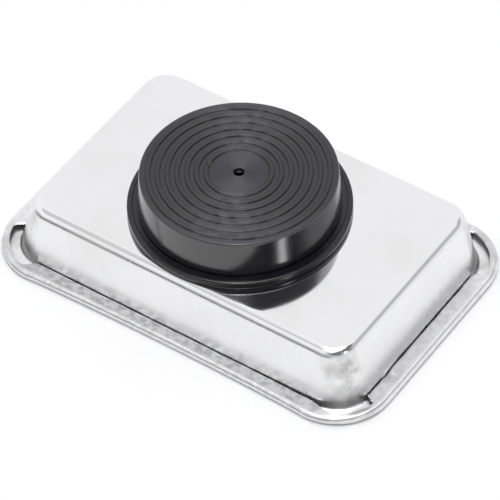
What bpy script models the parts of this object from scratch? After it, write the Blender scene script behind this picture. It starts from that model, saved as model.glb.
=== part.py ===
# Rectangular magnetic tray for sorting small parts, standing upside down on its rim.
#
# The tray is one drawn sheet of stainless steel with a hemmed rim.  A ring magnet is
# clamped to the outside of its base by a welded stud, inside a black moulded cap whose
# ribbed face grips whatever the tray is set on.  The rim lies on z = 0, the base and the
# magnet are above it, +X runs along the long side, and the origin is at the rim's centre.
# All dimensions are in metres.

from math import atan2, cos, pi, radians, sin, tan

import bmesh
import bpy
from mathutils import Vector

# Tray, outside sizes
TRAY_LENGTH = 0.1400
TRAY_WIDTH = 0.0940
TRAY_HEIGHT = 0.0210          # rim plane to the outside of the base
SHEET = 0.0006
RIM_CORNER_RADIUS = 0.0185
FLANGE_WIDTH = 0.0062         # rim edge to the foot of the wall
WALL_LEAN = 0.0037            # how far a long wall leans in over its height
END_WALL_EXTRA_LEAN = 0.0011  # an end wall leans in this much more
BASE_FILLET = 0.0035
FOOT_FILLET = 0.0015
HEM_HEIGHT = 0.0029
HEM_FLAP_ON_SIDES = 0.0058    # rim edge to the flap's cut edge along the straight sides
HEM_FLAP_IN_CORNERS = 0.0022  # and at the middle of a corner

# Magnet cap and seat
MAGNET_OFFSET_X = -0.0019     # the magnet is fixed by hand, a little off the tray's centre
MAGNET_OFFSET_Y = -0.0012
CLEARANCE = 0.0003            # left between any two pieces
SEAT_RADIUS = 0.0347
SEAT_THICKNESS = 0.0024
SEAT_FLOOR = 0.0012
SEAT_EDGE_RADIUS = 0.0007
SPIGOT_INNER_RADIUS = 0.0272
SPIGOT_WALL = 0.0010
SPIGOT_HEIGHT = 0.0024        # above the seat's lip
CAP_FACE_RADIUS = 0.0305
CAP_FOOT_RADIUS = 0.0315
CAP_HEIGHT = 0.0156           # base of the tray to the tops of the ribs
CAP_WALL = 0.0019
CAP_PLATE = 0.0018
CAP_EDGE_RADIUS = 0.0006
CAP_VENT_RADIUS = 0.0017
RIB_COUNT = 7
RIB_FIRST_RADIUS = 0.00935
RIB_PITCH = 0.00296
RIB_WIDTH = 0.00133
RIB_HEIGHT = 0.0004

# Pieces inside the cap
STUD_RADIUS = 0.0025
STUD_FLANGE_RADIUS = 0.0060
STUD_FLANGE_THICKNESS = 0.0010
STUD_CHAMFER = 0.0005
STUD_PROUD = 0.0006           # stands out of the nut
STUD_HOLE_RADIUS = STUD_RADIUS + CLEARANCE
PLATE_RADIUS = 0.0268
PLATE_THICKNESS = 0.0015
MAGNET_RADIUS = 0.0268
MAGNET_BORE_RADIUS = 0.0120
MAGNET_THICKNESS = 0.0076
CLAMP_SHEET = 0.0008
CLAMP_FLANGE_RADIUS = 0.0160
CLAMP_WELL_RADIUS = 0.0106    # outside of the well that drops into the magnet's bore
CLAMP_WELL_DEPTH = 0.0078
SPRING_WASHER_RADIUS = 0.0044
SPRING_WASHER_THICKNESS = 0.0012
SPRING_WASHER_SPLIT = 0.0009
NUT_ACROSS_FLATS = 0.0080
NUT_HEIGHT = 0.0040
NUT_CHAMFER = 0.0005

# Levels of the stack, from the tray's base upwards
BASE_Z = TRAY_HEIGHT
SEAT_Z = BASE_Z + CLEARANCE
SEAT_LIP_Z = SEAT_Z + SEAT_THICKNESS
PLATE_Z = SEAT_Z + SEAT_FLOOR + CLEARANCE
MAGNET_Z = PLATE_Z + PLATE_THICKNESS + CLEARANCE
CLAMP_FLANGE_Z = MAGNET_Z + MAGNET_THICKNESS + CLEARANCE
CLAMP_WELL_Z = CLAMP_FLANGE_Z + CLAMP_SHEET - CLAMP_WELL_DEPTH
WASHER_Z = CLAMP_WELL_Z + CLAMP_SHEET + CLEARANCE
NUT_Z = WASHER_Z + SPRING_WASHER_THICKNESS + CLEARANCE
STUD_TOP_Z = NUT_Z + NUT_HEIGHT + STUD_PROUD
CAP_FOOT_Z = SEAT_LIP_Z + CLEARANCE
CAP_TOP_Z = BASE_Z + CAP_HEIGHT
CAP_FACE_Z = CAP_TOP_Z - RIB_HEIGHT
CAP_CEILING_Z = CAP_FACE_Z - CAP_PLATE

# Facets
CORNER_STEPS = 8              # around one plan corner of the tray
SHEET_BEND_STEPS = 4          # across one bend of the sheet
EDGE_STEPS = 3                # across a moulded edge radius
LARGE_STEPS = 48              # around the cap, the seat and the magnet
MEDIUM_STEPS = 32             # around the clamp
SMALL_STEPS = 24              # around the stud and the washer
SMOOTH_ANGLE = radians(35)


# ---------------------------------------------------------------- scene and materials

def start_scene():
    """Empties the scene and returns the collections for the pieces and the cutters."""
    for old in list(bpy.data.objects):
        bpy.data.objects.remove(old, do_unlink=True)
    pieces = bpy.data.collections.new("parts_tray")
    cutters = bpy.data.collections.new("cutters")
    bpy.context.scene.collection.children.link(pieces)
    bpy.context.scene.collection.children.link(cutters)
    return pieces, cutters


def make_material(name, colour, roughness, metallic):
    """A Principled material with one colour, given as linear red, green and blue."""
    material = bpy.data.materials.new(name)
    material.use_nodes = True
    shader = material.node_tree.nodes["Principled BSDF"]
    shader.inputs["Base Color"].default_value = (*colour, 1.0)
    shader.inputs["Roughness"].default_value = roughness
    shader.inputs["Metallic"].default_value = metallic
    return material


def add_object(name, mesh, material, collection):
    """Puts a mesh in a collection as a named object, shaded smooth across small angles."""
    if material:
        mesh.materials.append(material)
    mesh.shade_smooth()
    mesh.set_sharp_from_angle(angle=SMOOTH_ANGLE)
    piece = bpy.data.objects.new(name, mesh)
    collection.objects.link(piece)
    return piece


# ---------------------------------------------------------------- shape helpers

def rounded_path(corners, steps):
    """Points of a polyline whose corners are arcs.

    Each corner is (across, z, radius).  Its arc has a point at both tangent points and
    `steps` equal turns between them; a radius of 0 keeps the corner itself.
    """
    path = []
    for index, (across, z, radius) in enumerate(corners):
        here = Vector((across, z))
        if radius == 0:
            path.append(here)
            continue
        back = (Vector(corners[index - 1][:2]) - here).normalized()
        ahead = (Vector(corners[index + 1][:2]) - here).normalized()
        half_turn = (pi - back.angle(ahead)) / 2
        centre = here + (back + ahead).normalized() * radius / cos(half_turn)
        first = here + back * radius * tan(half_turn) - centre
        side = here + ahead * radius * tan(half_turn) - centre
        start = atan2(first.y, first.x)
        turn = atan2(first.x * side.y - first.y * side.x, first.dot(side))
        for step in range(steps + 1):
            angle = start + turn * step / steps
            path.append(centre + radius * Vector((cos(angle), sin(angle))))
    return path


def turned(name, profile, steps, material, collection):
    """A piece turned about Z from a closed (radius, z) profile.

    The profile runs down its outer side, so that the faces point out.
    """
    mesh = bpy.data.meshes.new(name)
    points = [(radius, 0.0, z) for radius, z in profile]
    edges = [(i, (i + 1) % len(points)) for i in range(len(points))]
    mesh.from_pydata(points, edges, [])
    piece = add_object(name, mesh, material, collection)
    screw = piece.modifiers.new("turn", "SCREW")
    screw.steps = steps
    screw.render_steps = steps
    screw.use_merge_vertices = True
    screw.merge_threshold = 0.0001
    return piece


def subtract(piece, cutter):
    """Cuts one object out of another with an exact Boolean."""
    cutter.hide_render = True
    cutter.display_type = "WIRE"
    cut = piece.modifiers.new("cut", "BOOLEAN")
    cut.operation = "DIFFERENCE"
    cut.solver = "EXACT"
    cut.object = cutter


# ---------------------------------------------------------------- tray

def plan_points():
    """Plan of the rim as (corner centre, outward normal, corner weight) for each point.

    Every outline of the tray is this plan at another distance from its corner centres.
    The weight is 0 on the straight sides, rises fast into a corner and is 1 at its middle.
    """
    centre_x = TRAY_LENGTH / 2 - RIM_CORNER_RADIUS
    centre_y = TRAY_WIDTH / 2 - RIM_CORNER_RADIUS
    plan = []
    for corner, (sign_x, sign_y) in enumerate(((1, 1), (-1, 1), (-1, -1), (1, -1))):
        centre = Vector((sign_x * centre_x, sign_y * centre_y))
        for step in range(CORNER_STEPS + 1):
            part = step / CORNER_STEPS
            angle = (corner + part) * pi / 2
            weight = abs(sin(part * pi)) ** 0.5
            plan.append((centre, Vector((cos(angle), sin(angle))), weight))
    return plan


def tray_outline(plan, inset, z):
    """Points of the plan moved in by `inset`, with the end walls' extra lean at height z."""
    lean = END_WALL_EXTRA_LEAN * max(0.0, z - HEM_HEIGHT) / (TRAY_HEIGHT - HEM_HEIGHT)
    points = []
    for centre, normal, weight in plan:
        flat = centre + normal * (RIM_CORNER_RADIUS - inset(weight))
        shift = -lean if centre.x > 0 else lean
        points.append((flat.x + shift, flat.y, z))
    return points


def make_tray(material, collection):
    """The drawn dish: base, leaning walls, flange and the hem folded back over it."""
    half = SHEET / 2
    foot = FLANGE_WIDTH + half
    path = rounded_path((
        (foot + WALL_LEAN + 2 * BASE_FILLET, TRAY_HEIGHT - half, 0),
        (foot + WALL_LEAN, TRAY_HEIGHT - half, BASE_FILLET - half),
        (foot, half, FOOT_FILLET),
        (half, half, HEM_HEIGHT / 2 - half),
        (half, HEM_HEIGHT - half, HEM_HEIGHT / 2 - half),
        (HEM_FLAP_ON_SIDES, HEM_HEIGHT - half, 0)), SHEET_BEND_STEPS)
    plan = plan_points()
    loops = [tray_outline(plan, lambda weight, inset=inset: inset, z)
             for inset, z in path[1:-1]]
    narrowing = HEM_FLAP_ON_SIDES - HEM_FLAP_IN_CORNERS
    loops.append(tray_outline(
        plan, lambda weight: HEM_FLAP_ON_SIDES - narrowing * weight, path[-1].y))

    shape = bmesh.new()
    rings = [[shape.verts.new(point) for point in loop] for loop in loops]
    shape.faces.new(rings[0])
    count = len(plan)
    for inner, outer in zip(rings, rings[1:]):
        for i in range(count):
            j = (i + 1) % count
            shape.faces.new((inner[j], inner[i], outer[i], outer[j]))
    bmesh.ops.recalc_face_normals(shape, faces=shape.faces)
    mesh = bpy.data.meshes.new("tray_shell")
    shape.to_mesh(mesh)
    shape.free()

    tray = add_object("tray_shell", mesh, material, collection)
    wall = tray.modifiers.new("sheet", "SOLIDIFY")
    wall.thickness = SHEET
    wall.offset = 0.0
    wall.use_even_offset = True
    return tray


# ---------------------------------------------------------------- magnet housing

def make_seat(material, collection):
    """Moulded dish against the tray: a lip all round, and a spigot that the cap fits over."""
    spigot_outer = SPIGOT_INNER_RADIUS + SPIGOT_WALL
    spigot_top = SEAT_LIP_Z + SPIGOT_HEIGHT
    stud_hole = STUD_FLANGE_RADIUS + CLEARANCE
    edge = rounded_path((
        (spigot_outer, SEAT_LIP_Z, 0),
        (SEAT_RADIUS, SEAT_LIP_Z, SEAT_EDGE_RADIUS),
        (SEAT_RADIUS, SEAT_Z, 0)), EDGE_STEPS)
    profile = [(SPIGOT_INNER_RADIUS, spigot_top), (spigot_outer, spigot_top)]
    profile += [tuple(point) for point in edge]
    profile += [
        (stud_hole, SEAT_Z),
        (stud_hole, SEAT_Z + SEAT_FLOOR),
        (SPIGOT_INNER_RADIUS, SEAT_Z + SEAT_FLOOR)]
    return turned("magnet_seat", profile, LARGE_STEPS, material, collection)


def make_cap(material, collection):
    """Moulded cap: drafted wall, face plate with concentric ribs, vent hole in the middle."""
    profile = [(CAP_VENT_RADIUS, CAP_FACE_Z)]
    for rib in range(RIB_COUNT):
        inner = RIB_FIRST_RADIUS + rib * RIB_PITCH
        outer = inner + RIB_WIDTH
        profile += [
            (inner, CAP_FACE_Z), (inner, CAP_TOP_Z),
            (outer, CAP_TOP_Z), (outer, CAP_FACE_Z)]
    edge = rounded_path((
        (CAP_FACE_RADIUS - 2 * CAP_EDGE_RADIUS, CAP_FACE_Z, 0),
        (CAP_FACE_RADIUS, CAP_FACE_Z, CAP_EDGE_RADIUS),
        (CAP_FOOT_RADIUS, CAP_FOOT_Z, 0)), EDGE_STEPS)
    profile += [tuple(point) for point in edge[1:]]
    profile += [
        (CAP_FOOT_RADIUS - CAP_WALL, CAP_FOOT_Z),
        (CAP_FACE_RADIUS - CAP_WALL, CAP_CEILING_Z),
        (CAP_VENT_RADIUS, CAP_CEILING_Z)]
    return turned("magnet_cap", profile, LARGE_STEPS, material, collection)


# ---------------------------------------------------------------- pieces inside the cap

def make_disc(name, outer, bore, bottom, thickness, steps, material, collection):
    """A flat ring with square edges."""
    top = bottom + thickness
    profile = [(bore, top), (outer, top), (outer, bottom), (bore, bottom)]
    return turned(name, profile, steps, material, collection)


def make_stud(material, collection):
    """Weld stud: a flange on the tray's base and a shank up through the magnet."""
    flange_top = BASE_Z + CLEARANCE + STUD_FLANGE_THICKNESS
    profile = [
        (0.0, STUD_TOP_Z),
        (STUD_RADIUS - STUD_CHAMFER, STUD_TOP_Z),
        (STUD_RADIUS, STUD_TOP_Z - STUD_CHAMFER),
        (STUD_RADIUS, flange_top),
        (STUD_FLANGE_RADIUS, flange_top),
        (STUD_FLANGE_RADIUS, BASE_Z + CLEARANCE),
        (0.0, BASE_Z + CLEARANCE)]
    return turned("fixing_stud", profile, SMALL_STEPS, material, collection)


def make_clamp(material, collection):
    """Pressed steel clamp: its flange holds the magnet, its well takes the nut."""
    flange_top = CLAMP_FLANGE_Z + CLAMP_SHEET
    well_inner = CLAMP_WELL_RADIUS - CLAMP_SHEET
    profile = [
        (well_inner, flange_top),
        (CLAMP_FLANGE_RADIUS, flange_top),
        (CLAMP_FLANGE_RADIUS, CLAMP_FLANGE_Z),
        (CLAMP_WELL_RADIUS, CLAMP_FLANGE_Z),
        (CLAMP_WELL_RADIUS, CLAMP_WELL_Z),
        (STUD_HOLE_RADIUS, CLAMP_WELL_Z),
        (STUD_HOLE_RADIUS, CLAMP_WELL_Z + CLAMP_SHEET),
        (well_inner, CLAMP_WELL_Z + CLAMP_SHEET)]
    return turned("clamp_plate", profile, MEDIUM_STEPS, material, collection)


def make_spring_washer(material, collection, cutters):
    """Split spring washer: a ring with one slot through it."""
    washer = make_disc(
        "spring_washer", SPRING_WASHER_RADIUS, STUD_HOLE_RADIUS, WASHER_Z,
        SPRING_WASHER_THICKNESS, SMALL_STEPS, material, collection)
    bpy.ops.mesh.primitive_cube_add(size=1.0)
    slot = bpy.context.object
    slot.name = "spring_washer_slot"
    slot.scale = (2 * SPRING_WASHER_RADIUS, SPRING_WASHER_SPLIT, 4 * SPRING_WASHER_THICKNESS)
    slot.location = (SPRING_WASHER_RADIUS + STUD_RADIUS / 2, 0.0, WASHER_Z)
    move_to(slot, cutters)
    subtract(washer, slot)
    return washer


def make_nut(material, collection, cutters):
    """Hexagon nut with its bore and its chamfered top corners."""
    across_corners = NUT_ACROSS_FLATS / cos(pi / 6)
    middle = (0.0, 0.0, NUT_Z + NUT_HEIGHT / 2)
    bpy.ops.mesh.primitive_cylinder_add(
        vertices=6, radius=across_corners / 2, depth=NUT_HEIGHT, location=middle)
    nut = bpy.context.object
    nut.name = "fixing_nut"
    nut.data.materials.append(material)
    move_to(nut, collection)
    bpy.ops.mesh.primitive_cylinder_add(
        vertices=SMALL_STEPS, radius=STUD_HOLE_RADIUS, depth=2 * NUT_HEIGHT, location=middle)
    bore = bpy.context.object
    bore.name = "fixing_nut_bore"
    move_to(bore, cutters)
    chamfer = nut.modifiers.new("chamfer", "BEVEL")
    chamfer.width = NUT_CHAMFER
    chamfer.segments = 1
    subtract(nut, bore)
    return nut


def move_to(piece, collection):
    """Moves an object that an operator made into one collection."""
    for old in list(piece.users_collection):
        old.objects.unlink(piece)
    collection.objects.link(piece)


# ---------------------------------------------------------------- assembly

def centre_on_magnet(pieces, cutters):
    """Hangs everything but the tray on an empty at the magnet's centre."""
    magnet_centre = bpy.data.objects.new("magnet_centre", None)
    magnet_centre.location = (MAGNET_OFFSET_X, MAGNET_OFFSET_Y, 0.0)
    pieces.objects.link(magnet_centre)
    for piece in list(pieces.objects) + list(cutters.objects):
        if piece.name not in ("tray_shell", "magnet_centre"):
            piece.parent = magnet_centre


def build():
    """Makes every piece in the order in which the tray is put together."""
    pieces, cutters = start_scene()
    stainless = make_material("polished_stainless", (0.80, 0.80, 0.80), 0.16, 1.0)
    zinc = make_material("zinc_plated_steel", (0.62, 0.63, 0.65), 0.35, 1.0)
    mild_steel = make_material("mild_steel", (0.48, 0.48, 0.49), 0.42, 1.0)
    ferrite = make_material("ferrite", (0.035, 0.034, 0.036), 0.62, 0.2)
    black_plastic = make_material("black_plastic", (0.022, 0.022, 0.024), 0.34, 0.0)

    make_tray(stainless, pieces)
    make_stud(zinc, pieces)
    make_seat(black_plastic, pieces)
    make_disc("pole_plate", PLATE_RADIUS, STUD_HOLE_RADIUS, PLATE_Z, PLATE_THICKNESS,
              LARGE_STEPS, mild_steel, pieces)
    make_disc("ring_magnet", MAGNET_RADIUS, MAGNET_BORE_RADIUS, MAGNET_Z, MAGNET_THICKNESS,
              LARGE_STEPS, ferrite, pieces)
    make_clamp(zinc, pieces)
    make_spring_washer(zinc, pieces, cutters)
    make_nut(zinc, pieces, cutters)
    make_cap(black_plastic, pieces)
    centre_on_magnet(pieces, cutters)


build()
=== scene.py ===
import bpy
import numpy as np
from mathutils import Matrix, Vector


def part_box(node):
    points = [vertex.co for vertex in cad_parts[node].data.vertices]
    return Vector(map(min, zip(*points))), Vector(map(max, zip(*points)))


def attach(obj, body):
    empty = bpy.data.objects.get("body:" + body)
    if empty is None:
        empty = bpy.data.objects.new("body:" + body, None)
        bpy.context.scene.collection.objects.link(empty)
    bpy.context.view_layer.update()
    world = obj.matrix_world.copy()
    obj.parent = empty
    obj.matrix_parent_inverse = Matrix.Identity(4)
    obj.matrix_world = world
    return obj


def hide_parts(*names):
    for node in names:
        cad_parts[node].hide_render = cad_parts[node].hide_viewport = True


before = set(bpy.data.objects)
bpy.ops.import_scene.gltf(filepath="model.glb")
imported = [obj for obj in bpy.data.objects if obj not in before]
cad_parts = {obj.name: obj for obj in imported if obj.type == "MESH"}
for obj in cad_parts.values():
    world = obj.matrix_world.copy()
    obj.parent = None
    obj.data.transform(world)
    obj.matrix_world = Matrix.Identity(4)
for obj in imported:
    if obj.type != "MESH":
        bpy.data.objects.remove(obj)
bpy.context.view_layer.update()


# Camera: a long lens, so that the tray's edges stay nearly parallel.  It looks down at the
# tray's near right corner, and is turned a little about its own axis.

CAMERA_AZIMUTH = np.radians(35.58)
CAMERA_ELEVATION = np.radians(46.56)
CAMERA_ROLL = np.radians(-1.75)
CAMERA_DISTANCE = 1.1177
CAMERA_TARGET = Vector((0.00484, -0.00611, 0.0100))
CAMERA_LENS_MM = 262.0

camera_back = Vector((
    np.sin(CAMERA_AZIMUTH) * np.cos(CAMERA_ELEVATION),
    -np.cos(CAMERA_AZIMUTH) * np.cos(CAMERA_ELEVATION),
    np.sin(CAMERA_ELEVATION)))
level_right = Vector((np.cos(CAMERA_AZIMUTH), np.sin(CAMERA_AZIMUTH), 0.0))
level_up = camera_back.cross(level_right)
camera_right = level_right * np.cos(CAMERA_ROLL) + level_up * np.sin(CAMERA_ROLL)
camera_up = level_up * np.cos(CAMERA_ROLL) - level_right * np.sin(CAMERA_ROLL)
camera = bpy.data.objects.new("camera", bpy.data.cameras.new("camera"))
camera.data.sensor_width = 36.0
camera.data.lens = CAMERA_LENS_MM
camera.data.clip_end = 20.0
camera.matrix_world = (
    Matrix.Translation(CAMERA_TARGET + camera_back * CAMERA_DISTANCE)
    @ Matrix((camera_right, camera_up, camera_back)).transposed().to_4x4())
bpy.context.scene.collection.objects.link(camera)
bpy.context.scene.camera = camera
bpy.context.scene.view_settings.view_transform = "Standard"


# Studio: white paper on the floor of a pale room with a small bright ceiling, a lamp overhead and
# a strip light at the right.  The steel and the cap mirror the room: cloth, a beam and a dark
# skirting at the left, a dark doorway and its lintel at the right, and a screen behind.

FLOOR_SIZE = 3.0
ROOM_WALLS = (0.97, 0.97, 0.98)


class Wire:
    """A shader socket; arithmetic between wires and numbers adds Math nodes."""

    def __init__(self, nodes, socket):
        self.nodes = nodes
        self.socket = socket

    def math(self, operation, *others):
        return self.nodes.add("ShaderNodeMath", {"operation": operation}, self, *others)

    def __add__(self, other):
        return self.math("ADD", other)

    def __mul__(self, other):
        return self.math("MULTIPLY", other)

    def __sub__(self, other):
        return self.math("SUBTRACT", other)

    def __rsub__(self, other):
        return self * -1 + other

    __radd__ = __add__
    __rmul__ = __mul__

    def step(self, low, high):
        """0 below `low`, 1 above `high`, and a smooth rise between them."""
        return self.nodes.add(
            "ShaderNodeMapRange", {"interpolation_type": "SMOOTHSTEP"}, self, low, high)


class Nodes:
    """One node tree, of a material or of the world."""

    def __init__(self, owner):
        owner.use_nodes = True
        self.tree = owner.node_tree

    def add(self, kind, settings=None, *values, output=0, **named):
        """Adds a node, sets it, fills its sockets in order or by name, and returns an output."""
        node = self.tree.nodes.new(kind)
        for key, value in (settings or {}).items():
            setattr(node, key, value)
        filled = list(enumerate(values)) + [
            (name.replace("_", " "), value) for name, value in named.items()]
        for key, value in filled:
            self.fill(node.inputs[key], value)
        return Wire(self, node.outputs[output]) if node.outputs else None

    def fill(self, socket, value):
        """Links a wire to a socket, or sets the socket's own value."""
        if isinstance(value, Wire):
            self.tree.links.new(value.socket, socket)
        elif socket.type == "RGBA":
            socket.default_value = (*value, 1.0)
        else:
            socket.default_value = value

    def mix(self, factor, first, second):
        """A colour between two colours."""
        node = self.tree.nodes.new("ShaderNodeMix")
        node.data_type = "RGBA"
        for key, value in ((0, factor), (6, first), (7, second)):
            self.fill(node.inputs[key], value)
        return Wire(self, node.outputs[2])


def studio_light(name, azimuth, elevation, distance, width, height, radiance):
    """A rectangular soft box aimed at the tray; azimuth 0 is the -Y side, 90 the +X side."""
    light = bpy.data.lights.new(name, "AREA")
    light.shape = "RECTANGLE"
    light.size = width
    light.size_y = height
    light.energy = radiance * np.pi * width * height
    turn = np.radians(azimuth)
    rise = np.radians(elevation)
    back = Vector((
        np.sin(turn) * np.cos(rise), -np.cos(turn) * np.cos(rise), np.sin(rise)))
    lamp = bpy.data.objects.new(name, light)
    lamp.location = back * distance
    lamp.rotation_euler = back.to_track_quat("Z", "Y").to_euler()
    bpy.context.scene.collection.objects.link(lamp)


studio_light(
    "overhead_lamp", azimuth=27.0, elevation=70.0, distance=1.5,
    width=0.25, height=0.25, radiance=24.0)
studio_light(
    "right_strip", azimuth=79.0, elevation=36.5, distance=1.4,
    width=0.15, height=0.38, radiance=4.8)

room = bpy.data.worlds.new("studio_room")
bpy.context.scene.world = room
nodes = Nodes(room)
nodes.tree.nodes.clear()
looking = nodes.add("ShaderNodeTexCoord", output="Generated")
east, north, up = [
    nodes.add("ShaderNodeSeparateXYZ", None, looking, output=axis) for axis in "XYZ"]
level = (1 - up * up).math("SQRT")


def facing(azimuth):
    """Cosine of the level angle between a direction and the given azimuth."""
    turn = np.radians(azimuth)
    return (east * np.sin(turn) - north * np.cos(turn)).math("DIVIDE", level)


def patch(azimuth, sides, foot, top):
    """A soft-edged patch of wall: sides as cosines from its azimuth, foot and top as heights."""
    return facing(azimuth).step(*sides) * up.step(*foot) * (1 - up.step(*top))


cloth = patch(-48.0, sides=(0.02, 0.14), foot=(0.52, 0.60), top=(0.90, 0.97))
doorway = patch(62.0, sides=(0.30, 0.90), foot=(0.40, 0.50), top=(0.86, 0.95))
lintel = patch(112.0, sides=(0.78, 0.92), foot=(0.72, 0.78), top=(0.88, 0.93))
beam = patch(-70.0, sides=(0.66, 0.84), foot=(0.77, 0.82), top=(0.89, 0.93))
screen = patch(146.0, sides=(0.84, 0.94), foot=(0.38, 0.48), top=(0.66, 0.76))
ceiling = up.step(0.94, 0.975)
skirting = facing(-20.0).step(0.62, 0.80) * (1 - up.step(0.30, 0.40))
room_light = ROOM_WALLS
for shape, light in (
        (cloth, (1.02, 1.02, 1.04)),
        (doorway, (0.035, 0.038, 0.055)),
        (ceiling, (4.7, 4.7, 4.7)),
        (lintel, (0.12, 0.12, 0.15)),
        (beam, (0.66, 0.66, 0.66)),
        (screen, (0.50, 0.50, 0.51)),
        (skirting, (0.12, 0.12, 0.12))):
    room_light = nodes.mix(shape, room_light, light)
nodes.add("ShaderNodeOutputWorld", None, nodes.add("ShaderNodeBackground", None, room_light))

floor_mesh = bpy.data.meshes.new("floor")
floor_edge = FLOOR_SIZE / 2
floor_corners = [
    (-floor_edge, -floor_edge, 0), (floor_edge, -floor_edge, 0),
    (floor_edge, floor_edge, 0), (-floor_edge, floor_edge, 0)]
floor_mesh.from_pydata(floor_corners, [], [(0, 1, 2, 3)])
floor = bpy.data.objects.new("floor", floor_mesh)
bpy.context.scene.collection.objects.link(floor)

paper = bpy.data.materials.new("white_paper")
nodes = Nodes(paper)
shader = nodes.tree.nodes["Principled BSDF"]
grain = nodes.add("ShaderNodeTexNoise", None,
                  Vector=nodes.add("ShaderNodeTexCoord", output="Object"), Scale=300.0)
nodes.fill(shader.inputs["Base Color"],
           nodes.mix(grain, (0.80, 0.80, 0.80), (0.82, 0.82, 0.82)))
shader.inputs["Roughness"].default_value = 0.9
shader.inputs["Specular IOR Level"].default_value = 0.0
floor_mesh.materials.append(paper)


# Tray: one sheet of thin stainless steel, drawn into a dish in a press.  Its flange was
# trimmed, then its edge was curled up and pressed back flat over the flange as a hem.  The
# hem's cut edge nearly meets the wall along the sides and draws back in the corners.

SHEET = 0.0006
RIM_CORNER_RADIUS = 0.0185
FLANGE_WIDTH = 0.0062
WALL_LEAN = 0.0037
END_WALL_EXTRA_LEAN = 0.0011
BASE_FILLET = 0.0035
FOOT_FILLET = 0.0015
LONG_SIDE_BOW = 0.0012        # the long sides of the rim spring in by this much

HEM_HEIGHT = 0.0029
HEM_REACH = 0.00615           # rim edge to the hem's cut edge, along the sides
HEM_REACH_IN_CORNERS = 0.0026
HEM_DROP = 0.00042            # the hem leans down to its cut edge by this much
HEM_EDGE_RIPPLE = 0.00012
HEM_FACE_RIPPLE = 0.00008
OPENING_RAMP = 0.14           # part of a corner's turn over which the hem draws back

# In the near right corner the hem begins to draw back on the front side, and it comes back to
# the wall in one step.
EARLY_OPENING = 0.10
EARLY_OPENING_START_X = 0.0300
EARLY_OPENING_END_X = 0.0515
LATE_OPENING_RAMP = 0.35
LATE_OPENING_END = 0.87

CREASE_Y = -0.0202            # a crease across the hem of the right side
CREASE_DEPTH = 0.0009
CREASE_WIDTH = 0.0011
PAINTED_SHADE_TURN = 0.66             # painted shade low on the near right corner's wall: how far round it, and its level
PAINTED_SHADE_TURN_WIDTH = 0.16
PAINTED_SHADE_LEVEL = 0.0115
PAINTED_SHADE_HEIGHT = 0.0040
PAINTED_SHADE_STRENGTH = 2.5

CORNER_STEPS = 28
SIDE_STEPS = (56, 36)         # along a long side and along a short one
FILLET_STEPS = 10
WALL_SPAN = 0.0010            # the longest span up a wall
BASE_RINGS = 14               # rings of points across the base, on each face of the sheet
tray_low, tray_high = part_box("tray_shell")


def rounded(corners, steps, longest):
    """A polyline as an (n, 2) array, with arcs for corners and straight runs cut into spans.

    Each corner is (across, z, radius); an arc has its centre on the corner's bisector, at
    radius / cos(half its turn), and a radius of 0 keeps the corner.
    """
    knots = np.array([corner[:2] for corner in corners])
    stretches = []
    for index, (across, z, radius) in enumerate(corners):
        here = knots[index]
        if radius == 0:
            stretches.append(here[None])
            continue
        back = knots[index - 1] - here
        ahead = knots[(index + 1) % len(knots)] - here
        back /= np.hypot(*back)
        ahead /= np.hypot(*ahead)
        half_turn = (np.pi - np.arccos(back @ ahead)) / 2
        bisector = (back + ahead) / np.hypot(*(back + ahead))
        centre = here + bisector * radius / np.cos(half_turn)
        first = here + back * radius * np.tan(half_turn) - centre
        last = here + ahead * radius * np.tan(half_turn) - centre
        start = np.arctan2(first[1], first[0])
        turn = np.arctan2(first[0] * last[1] - first[1] * last[0], first @ last)
        angles = start + turn * np.linspace(0, 1, steps + 1)
        stretches.append(centre + radius * np.stack((np.cos(angles), np.sin(angles)), axis=1))
    path = np.concatenate(stretches)
    spans = [
        np.linspace(here, there, int(np.ceil(np.hypot(*(there - here)) / longest)) or 1,
                    endpoint=False)
        for here, there in zip(path, path[1:])]
    return np.concatenate(spans + [path[-1:]])


def skins(path, thickness):
    """The two faces of a sheet whose middle follows `path`: the path moved along its normal."""
    along = np.gradient(path, axis=0)
    along /= np.hypot(along[:, 0], along[:, 1])[:, None]
    normal = np.stack((along[:, 1], -along[:, 0]), axis=1)
    return path + normal * thickness / 2, path - normal * thickness / 2


def rim_plan(corner_steps, side_steps):
    """Points round the rim, anticlockwise, as arrays: arc centre, outward normal, bend.

    In a corner the centre stays and the normal turns; along a side the normal stays and the
    centre moves to the next corner.  `bend` runs from 0 to 1 through each corner and is 0 or
    1 on the sides, and `corner` is the number of the corner before or around the point.
    """
    middle = np.array((
        tray_high.x - RIM_CORNER_RADIUS, tray_high.y - RIM_CORNER_RADIUS))
    corners = middle * np.array(((1, 1), (-1, 1), (-1, -1), (1, -1)))
    centres, angles, bends, numbers = [], [], [], []
    for number in range(4):
        turn = np.linspace(0, 1, corner_steps + 1)
        run = np.linspace(0, 1, side_steps[number % 2] + 1)[1:-1, None]
        here, there = corners[number], corners[(number + 1) % 4]
        centres += [np.repeat(here[None], len(turn), axis=0), here + (there - here) * run]
        angles += [(number + turn) * np.pi / 2, np.full(len(run), (number + 1) * np.pi / 2)]
        bends += [turn, np.ones(len(run))]
        numbers.append(np.full(len(turn) + len(run), number))
    angles = np.concatenate(angles)
    normals = np.stack((np.cos(angles), np.sin(angles)), axis=1)
    return np.concatenate(centres), normals, np.concatenate(bends), np.concatenate(numbers)


def smooth_step(low, high, values):
    """0 below `low`, 1 above `high`, and 3t^2 - 2t^3 between them."""
    part = np.clip((values - low) / (high - low), 0.0, 1.0)
    return part * part * (3 - 2 * part)


def ripple(positions, waves, phase):
    """A sum of sines of the given wave counts round a closed line, between about -1 and 1."""
    turns = positions[:, None] * 2 * np.pi * np.array(waves)
    return np.sin(turns + phase * np.arange(1, len(waves) + 1)).mean(axis=1)


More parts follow.
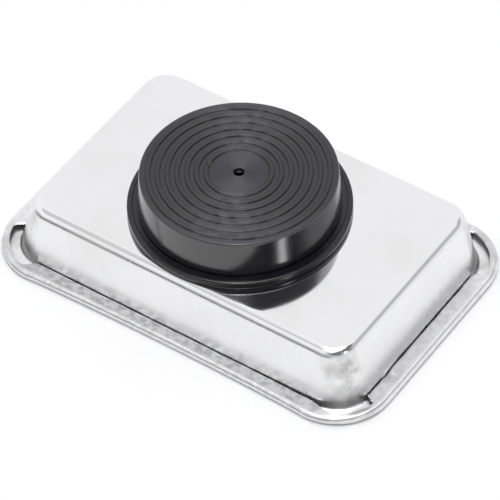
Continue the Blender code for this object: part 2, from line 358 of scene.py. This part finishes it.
def grid_faces(rows, columns, first=0, closed_rows=False):
    """Quads of a grid that closes on itself along its columns, and if asked along its rows."""
    here = np.arange(rows * columns).reshape(rows, columns) + first
    right = np.roll(here, -1, axis=1)
    below = np.roll(here, -1, axis=0)
    corner = np.roll(right, -1, axis=0)
    quads = np.stack((here, below, corner, right), axis=-1)
    return (quads if closed_rows else quads[:-1]).reshape(-1, 4).tolist()


def add_piece(name, points, faces, stands_for, attributes=()):
    """A smooth mesh piece in the row frame, which rides on the one body and replaces a node."""
    mesh = bpy.data.meshes.new(name)
    mesh.from_pydata(points.reshape(-1, 3).tolist(), [], faces)
    mesh.shade_smooth()
    for key, values in attributes:
        layer = mesh.attributes.new(key, "FLOAT", "POINT")
        layer.data.foreach_set("value", np.ascontiguousarray(values, np.float32).ravel())
    piece = bpy.data.objects.new(name, mesh)
    bpy.context.scene.collection.objects.link(piece)
    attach(piece, "root")
    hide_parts(stands_for)
    return piece


# The sheet in section, from the base down the wall, out along the flange, round the curl and
# back over it, measured in from the rim's edge: its outer face, its cut edge, its inner face.
half = SHEET / 2
foot = FLANGE_WIDTH + half
curl = HEM_HEIGHT / 2 - half
height = tray_high.z
sheet_middle = rounded((
    (foot + WALL_LEAN + 2 * BASE_FILLET, height - half, 0),
    (foot + WALL_LEAN, height - half, BASE_FILLET - half),
    (foot, half, FOOT_FILLET),
    (half, half, curl),
    (half, HEM_HEIGHT - half, curl),
    (HEM_REACH - half, HEM_HEIGHT - half, 0)), FILLET_STEPS, WALL_SPAN)
outside, inside = skins(sheet_middle, SHEET)
cut_turn = np.linspace(0, np.pi, 7)[1:-1]
cut_edge = sheet_middle[-1] + half * np.stack((np.sin(cut_turn), -np.cos(cut_turn)), axis=1)
section = np.concatenate((outside, cut_edge, inside[::-1]))

# The section's middle rows are the hem, and `flap_part` grows from 0 at the curl to 1 at the
# cut edge, so that whatever moves the cut edge leaves the curl alone.
from_middle = np.abs(np.arange(len(section)) - (len(section) - 1) / 2)
curl_start = np.argmax(sheet_middle[:, 0] < half + curl)
past_curl = from_middle < len(section) / 2 - curl_start
flap_part = past_curl * np.clip(
    (section[:, 0] - half - curl) / (HEM_REACH - half - curl), 0.0, 1.0)

# How far the hem draws back at each point round the rim, and how it ripples and is creased.
centres, normals, bend, corner_number = rim_plan(CORNER_STEPS, SIDE_STEPS)
position = np.linspace(0, 1, len(bend), endpoint=False)
rim_x, rim_y = (centres + normals * RIM_CORNER_RADIUS).T
near_corner = corner_number == 3
front_side = normals[:, 1] < -0.999
right_side = normals[:, 0] > 0.999
long_side = np.abs(normals[:, 1]) > 0.999
opening = smooth_step(0.0, OPENING_RAMP, bend) * smooth_step(0.0, OPENING_RAMP, 1 - bend)
late_opening = (bend < LATE_OPENING_END) * (
    EARLY_OPENING + (1 - EARLY_OPENING) * smooth_step(0.0, LATE_OPENING_RAMP, bend))
early_opening = EARLY_OPENING * front_side * smooth_step(
    EARLY_OPENING_START_X, EARLY_OPENING_END_X, rim_x)
opening = np.maximum(np.where(near_corner, late_opening, opening), early_opening)
reach = (
    HEM_REACH + HEM_EDGE_RIPPLE * ripple(position, (31, 47, 72), 2.1)
    - (HEM_REACH - HEM_REACH_IN_CORNERS) * opening)
lift = HEM_FACE_RIPPLE * ripple(position, (23, 38, 61), 1.3)
lift -= CREASE_DEPTH * right_side * np.exp(-((rim_y - CREASE_Y) / CREASE_WIDTH) ** 2)
bow = LONG_SIDE_BOW * long_side * (
    1 - (centres[:, 0] / (tray_high.x - RIM_CORNER_RADIUS)) ** 2) ** 0.75

# The section carried round the rim.
inset = section[:, 0][:, None] + flap_part[:, None] * (reach - HEM_REACH)[None]
hem_slope = np.clip((inset - curl) / (HEM_REACH - curl), 0, 1) * past_curl[:, None]
z = section[:, 1][:, None] + flap_part[:, None] * lift[None] - HEM_DROP * hem_slope
inset += bow[None] * np.clip(1 - inset / FLANGE_WIDTH, 0, 1)
lean = END_WALL_EXTRA_LEAN * np.clip((z - HEM_HEIGHT) / (height - HEM_HEIGHT), 0, 1)
flat = centres[None] + normals[None] * (RIM_CORNER_RADIUS - inset)[..., None]
walls = np.concatenate((flat, z[..., None]), axis=-1)
walls[..., 0] -= lean * np.sign(centres[:, 0])[None]

# The base: the wall's first and last rings shrunk towards the middle, which a fan closes.
shrink = (np.arange(BASE_RINGS) + 0.5) / BASE_RINGS
scale = np.stack((shrink, shrink, np.ones(BASE_RINGS)), axis=1)
base_top = walls[0][None] * scale[:, None]
base_under = walls[-1][None] * scale[::-1, None]
tray_grid = np.concatenate((base_top, walls, base_under))
rows, columns = tray_grid.shape[:2]
poles = np.array(((0, 0, height), (0, 0, height - SHEET)))
column = np.arange(columns)
next_column = np.roll(column, -1)
last_row = (rows - 1) * columns
top_fan = np.stack((np.full(columns, rows * columns), column, next_column), axis=1)
under_fan = np.stack(
    (np.full(columns, rows * columns + 1), last_row + next_column, last_row + column), axis=1)

# Where the finish differs: on the hem, most on its long sides; round the corners, with a patch
# of painted shade low on the near right corner's wall; and everywhere below the base.
section_rows = slice(BASE_RINGS, BASE_RINGS + len(section))
hem_mask = np.zeros((rows, columns))
hem_mask[section_rows] = (
    smooth_step(-0.2, 0.2, flap_part) * past_curl)[:, None] * (0.40 + 0.60 * normals[:, 1] ** 4)
corner_mask = np.tile(
    smooth_step(0.0, 0.25, bend) * smooth_step(0.0, 0.25, 1 - bend), (rows, 1))
# Painted shade: a grey patch low on the wall of the near right corner, carried in the corner
# mask.
corner_mask[section_rows] += PAINTED_SHADE_STRENGTH * near_corner * np.exp(
    -((bend - PAINTED_SHADE_TURN) / PAINTED_SHADE_TURN_WIDTH) ** 2 - ((z - PAINTED_SHADE_LEVEL) / PAINTED_SHADE_HEIGHT) ** 2)
below_base = height - tray_grid[..., 2]
corner_mask *= smooth_step(0.0003, 0.0030, below_base)
wall_mask = smooth_step(0.0001, 0.0012, below_base)
tray = add_piece(
    "tray", np.concatenate((tray_grid.reshape(-1, 3), poles)),
    grid_faces(rows, columns) + top_fan.tolist() + under_fan.tolist(),
    "tray_shell",
    [(key, np.append(mask.ravel(), (0, 0)))
     for key, mask in (("hem", hem_mask), ("corner", corner_mask), ("wall", wall_mask))])

# The steel: clouds dull it in patches, grey blotches mark the corners, with painted shade low on
# the near right one, a fine mottle greys the hem, and the walls are a little less polished than
# the base.
stainless = bpy.data.materials.new("drawn_stainless")
nodes = Nodes(stainless)
place = nodes.add("ShaderNodeTexCoord", output="Object")
hem = nodes.add("ShaderNodeAttribute", {"attribute_name": "hem"}, output="Fac")
corner = nodes.add("ShaderNodeAttribute", {"attribute_name": "corner"}, output="Fac")
wall = nodes.add("ShaderNodeAttribute", {"attribute_name": "wall"}, output="Fac")
clouds = nodes.add("ShaderNodeTexNoise", None, Vector=place, Scale=45.0, Detail=4.0)
blotches = nodes.add("ShaderNodeTexNoise", None, Vector=place, Scale=160.0, Detail=3.0)
mottle = nodes.add("ShaderNodeTexNoise", None, Vector=place, Scale=520.0, Detail=4.0)
colour = nodes.mix(clouds.step(0.40, 0.75), (0.865, 0.865, 0.870), (0.825, 0.825, 0.825))
# The corner mask greys the corners in blotches, and paints shade low on the near right corner.
colour = nodes.mix(corner * blotches.step(0.30, 0.70) * 0.8, colour, (0.50, 0.50, 0.49))
colour = nodes.mix(hem * (0.35 + 0.65 * mottle.step(0.38, 0.62)), colour, (0.52, 0.52, 0.535))
shader = nodes.tree.nodes["Principled BSDF"]
shader.inputs["Metallic"].default_value = 1.0
nodes.fill(shader.inputs["Base Color"], colour)
nodes.fill(shader.inputs["Roughness"],
           0.06 + 0.05 * clouds.step(0.40, 0.75) + 0.20 * wall + 0.08 * corner * blotches)
nodes.fill(shader.inputs["Normal"], nodes.add(
    "ShaderNodeBump", None, Strength=0.18, Distance=0.0001,
    Height=clouds * 0.3 + hem * mottle * 0.8 + corner * blotches * 0.5))
tray.data.materials.append(stainless)


# Fixing: a stud welded to the base holds a steel pole plate and a ferrite ring magnet under a
# pressed clamp, with a split washer and a nut in the clamp's well.  None of it shows once the
# cap is on.  The stud, the clamp, the washer and the nut are zinc plated.

def plain_material(name, colour, tint, roughness, metallic, grain_scale, grain_depth):
    """A finish that varies between two colours and two roughnesses with one grain."""
    material = bpy.data.materials.new(name)
    nodes = Nodes(material)
    place = nodes.add("ShaderNodeTexCoord", output="Object")
    patches = nodes.add(
        "ShaderNodeTexNoise", None, Vector=place, Scale=grain_scale / 6, Detail=3.0)
    grain = nodes.add("ShaderNodeTexNoise", None, Vector=place, Scale=grain_scale, Detail=4.0)
    shader = nodes.tree.nodes["Principled BSDF"]
    shader.inputs["Metallic"].default_value = metallic
    nodes.fill(shader.inputs["Base Color"], nodes.mix(patches.step(0.35, 0.65), colour, tint))
    nodes.fill(shader.inputs["Roughness"], roughness + 0.15 * grain)
    nodes.fill(shader.inputs["Normal"], nodes.add(
        "ShaderNodeBump", None, Strength=0.4, Distance=grain_depth, Height=grain))
    return material


zinc = plain_material(
    "zinc_plate", colour=(0.62, 0.64, 0.67), tint=(0.55, 0.55, 0.52),
    roughness=0.25, metallic=1.0, grain_scale=1800.0, grain_depth=0.00003)
mild_steel = plain_material(
    "bare_mild_steel", colour=(0.48, 0.48, 0.49), tint=(0.38, 0.37, 0.36),
    roughness=0.32, metallic=1.0, grain_scale=1200.0, grain_depth=0.00003)
ferrite = plain_material(
    "sintered_ferrite", colour=(0.035, 0.034, 0.036), tint=(0.055, 0.052, 0.050),
    roughness=0.55, metallic=0.0, grain_scale=2600.0, grain_depth=0.00006)
for node, material in (
        ("fixing_stud", zinc), ("clamp_plate", zinc), ("spring_washer", zinc),
        ("fixing_nut", zinc), ("pole_plate", mild_steel), ("ring_magnet", ferrite)):
    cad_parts[node].data.materials.clear()
    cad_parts[node].data.materials.append(material)


# Seat: a black moulded dish that lies on the tray's base under the magnet.  Its lip shows as
# a ring round the cap's foot, with a border raised a little at its edge, and a spigot inside
# the lip holds the cap.

TURNED_STEPS = 240
SEAT_FLOOR = 0.0012
SEAT_LIP = 0.0024
SEAT_HOLE_RADIUS = 0.0063
SPIGOT_INNER_RADIUS = 0.0272
SPIGOT_WALL = 0.0010
SEAT_BORDER_WIDTH = 0.0016
SEAT_BORDER_HEIGHT = 0.00012
SEAT_BORDER_SLOPE = 0.0002
seat_low, seat_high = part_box("magnet_seat")
magnet_x = (seat_low.x + seat_high.x) / 2
magnet_y = (seat_low.y + seat_high.y) / 2
seat_radius = (seat_high.x - seat_low.x) / 2


def turned(section, steps):
    """A closed (radius, z) section turned about the magnet's axis: a grid of points."""
    angles = np.linspace(0, 2 * np.pi, steps, endpoint=False)
    radius, z = section[:, 0][:, None], section[:, 1][:, None]
    return np.stack((
        magnet_x + radius * np.cos(angles), magnet_y + radius * np.sin(angles),
        z + 0 * angles), axis=-1)


lip_z = seat_low.z + SEAT_LIP
border_radius = seat_radius - SEAT_BORDER_WIDTH
seat_section = rounded((
    (SPIGOT_INNER_RADIUS, seat_high.z, 0.0002),
    (SPIGOT_INNER_RADIUS + SPIGOT_WALL, seat_high.z, 0.0002),
    (SPIGOT_INNER_RADIUS + SPIGOT_WALL, lip_z - SEAT_BORDER_HEIGHT, 0.0001),
    (border_radius - SEAT_BORDER_SLOPE, lip_z - SEAT_BORDER_HEIGHT, 0.0001),
    (border_radius, lip_z, 0.0001),
    (seat_radius, lip_z, 0.0006),
    (seat_radius, seat_low.z, 0.0002),
    (SEAT_HOLE_RADIUS, seat_low.z, 0.0001),
    (SEAT_HOLE_RADIUS, seat_low.z + SEAT_FLOOR, 0.0001),
    (SPIGOT_INNER_RADIUS, seat_low.z + SEAT_FLOOR, 0.0002)), 5, 0.0020)
seat_grid = turned(seat_section, TURNED_STEPS)
seat = add_piece(
    "seat", seat_grid, grid_faces(*seat_grid.shape[:2], closed_rows=True),
    "magnet_seat")


def black_plastic(name, roughness, grain_depth, gloss, polish):
    """Black moulding with a fine grain and a few faint smears.

    Where a piece has the attribute `face` it is matt and greyer, and painted paler still where
    the attribute `painted_sheen` paints a sheen on it; on a `rib_edge` shade is painted dark, and
    glints are painted pale where the painted sheen lies.  `polish` is a clear shine on the rest.
    """
    material = bpy.data.materials.new(name)
    nodes = Nodes(material)
    place = nodes.add("ShaderNodeTexCoord", output="Object")
    face = nodes.add("ShaderNodeAttribute", {"attribute_name": "face"}, output="Fac")
    painted_sheen = nodes.add("ShaderNodeAttribute", {"attribute_name": "painted_sheen"}, output="Fac")
    rib_edge = nodes.add("ShaderNodeAttribute", {"attribute_name": "rib_edge"}, output="Fac")
    # Noise that breaks up the painted glints on the rib edges.
    glint_breakup = nodes.add("ShaderNodeTexNoise", None, Vector=place, Scale=320.0, Detail=2.0)
    blotches = nodes.add("ShaderNodeTexNoise", None, Vector=place, Scale=110.0, Detail=4.0)
    grain = nodes.add("ShaderNodeTexNoise", None, Vector=place, Scale=3200.0, Detail=3.0)
    wall_colour = nodes.mix(
        blotches.step(0.45, 0.75), (0.0050, 0.0050, 0.0075), (0.0095, 0.0095, 0.0120))
    # The face is painted paler where the painted sheen lies.
    face_colour = nodes.mix(
        0.85 * painted_sheen + 0.15 * blotches, (0.011, 0.011, 0.016), (0.044, 0.044, 0.053))
    # Rib edges: shade painted near black, and glints painted pale where the painted sheen lies,
    # broken up by noise.
    edge_colour = nodes.mix(
        painted_sheen * painted_sheen * glint_breakup.step(0.30, 0.70), (0.001, 0.001, 0.001), (0.085, 0.085, 0.09))
    face_colour = nodes.mix(rib_edge, face_colour, edge_colour)
    shader = nodes.tree.nodes["Principled BSDF"]
    shader.inputs["Specular IOR Level"].default_value = gloss
    shader.inputs["Coat Roughness"].default_value = roughness
    shader.inputs["Coat IOR"].default_value = 1.8
    nodes.fill(shader.inputs["Coat Weight"], polish * (1 - face))
    nodes.fill(shader.inputs["Base Color"], nodes.mix(face, wall_colour, face_colour))
    nodes.fill(shader.inputs["Roughness"], roughness + 0.26 * face + 0.06 * blotches)
    nodes.fill(shader.inputs["Normal"], nodes.add(
        "ShaderNodeBump", None, Strength=0.5, Distance=grain_depth,
        Height=grain * (0.3 + 0.7 * face)))
    return material


seat.data.materials.append(black_plastic(
    "seat_black", roughness=0.18, grain_depth=0.00001, gloss=0.50, polish=0.0))


# Cap: a black moulded cup over the magnet, pushed onto the seat's spigot.  Its matt face has
# seven raised ribs that grip what the tray is set on, a vent hole and a nick in the innermost rib
# where the mould was filled.  Shade is painted dark on the ribs' edges, and a sheen is painted
# paler along one band across the face, with painted glints on the rib edges in it.  The drafted
# wall is polished.

CAP_FACE_RADIUS = 0.0305
CAP_WALL = 0.0019
CAP_PLATE = 0.0018
CAP_EDGE_RADIUS = 0.0006
CAP_VENT_RADIUS = 0.0017
RIB_COUNT = 7
RIB_FIRST_RADIUS = 0.00935
RIB_PITCH = 0.00296
RIB_WIDTH = 0.00133
RIB_HEIGHT = 0.0004
RIB_EDGE_RADIUS = 0.00010
NICK_ANGLE = np.radians(193.5)
NICK_HALF_WIDTH = 0.0005
PAINTED_SHEEN_ANGLE = np.radians(-62.0)  # the painted sheen band runs across the face at this angle
cap_low, cap_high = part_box("magnet_cap")
cap_foot_radius = (cap_high.x - cap_low.x) / 2
face_z = cap_high.z - RIB_HEIGHT
ceiling_z = face_z - CAP_PLATE

ribs = []
for rib in range(RIB_COUNT):
    rib_inner = RIB_FIRST_RADIUS + rib * RIB_PITCH
    rib_outer = rib_inner + RIB_WIDTH
    ribs += [
        (rib_inner, face_z, RIB_EDGE_RADIUS), (rib_inner, cap_high.z, RIB_EDGE_RADIUS),
        (rib_outer, cap_high.z, RIB_EDGE_RADIUS), (rib_outer, face_z, RIB_EDGE_RADIUS)]
cap_section = rounded((
    (CAP_VENT_RADIUS, face_z, 0.00010),
    *ribs,
    (CAP_FACE_RADIUS, face_z, CAP_EDGE_RADIUS),
    (cap_foot_radius, cap_low.z, 0.0002),
    (cap_foot_radius - CAP_WALL, cap_low.z, 0.0001),
    (CAP_FACE_RADIUS - CAP_WALL, ceiling_z, 0.0004),
    (CAP_VENT_RADIUS, ceiling_z, 0.0001)), 4, 0.0006)
cap_grid = turned(cap_section, TURNED_STEPS)
on_face = (cap_section[:, 1] > face_z - 0.00005) & (
    cap_section[:, 0] < CAP_FACE_RADIUS - CAP_EDGE_RADIUS / 2)
around = np.linspace(0, 2 * np.pi, TURNED_STEPS, endpoint=False)
in_nick = (np.abs(around - NICK_ANGLE) < NICK_HALF_WIDTH / RIB_FIRST_RADIUS)[None] & (
    cap_section[:, 0] < RIB_FIRST_RADIUS + RIB_WIDTH)[:, None]
cap_grid[..., 2] = np.where(in_nick, np.minimum(cap_grid[..., 2], face_z), cap_grid[..., 2])
rib_starts = RIB_FIRST_RADIUS + RIB_PITCH * np.arange(RIB_COUNT)
rib_edges = np.concatenate((rib_starts, rib_starts + RIB_WIDTH))
to_edge = np.abs(cap_section[:, 0][:, None] - rib_edges).min(axis=1)
# The ribs' rounded edges and walls, where shade and glints are painted.
rib_edge = on_face & (to_edge < RIB_EDGE_RADIUS * 1.5)
# A painted sheen: the face is painted paler in a band across it at the angle above, most at its
# middle.
painted_sheen = np.abs(np.cos(around - PAINTED_SHEEN_ANGLE)) ** 3
cap = add_piece(
    "cap", cap_grid, grid_faces(*cap_grid.shape[:2], closed_rows=True),
    "magnet_cap",
    (("face", np.repeat(on_face[:, None], TURNED_STEPS, axis=1)),
     ("rib_edge", np.repeat(rib_edge[:, None], TURNED_STEPS, axis=1)),
     ("painted_sheen", on_face[:, None] * painted_sheen[None])))
cap.data.materials.append(black_plastic(
    "cap_black", roughness=0.17, grain_depth=0.00002, gloss=0.55, polish=0.65))
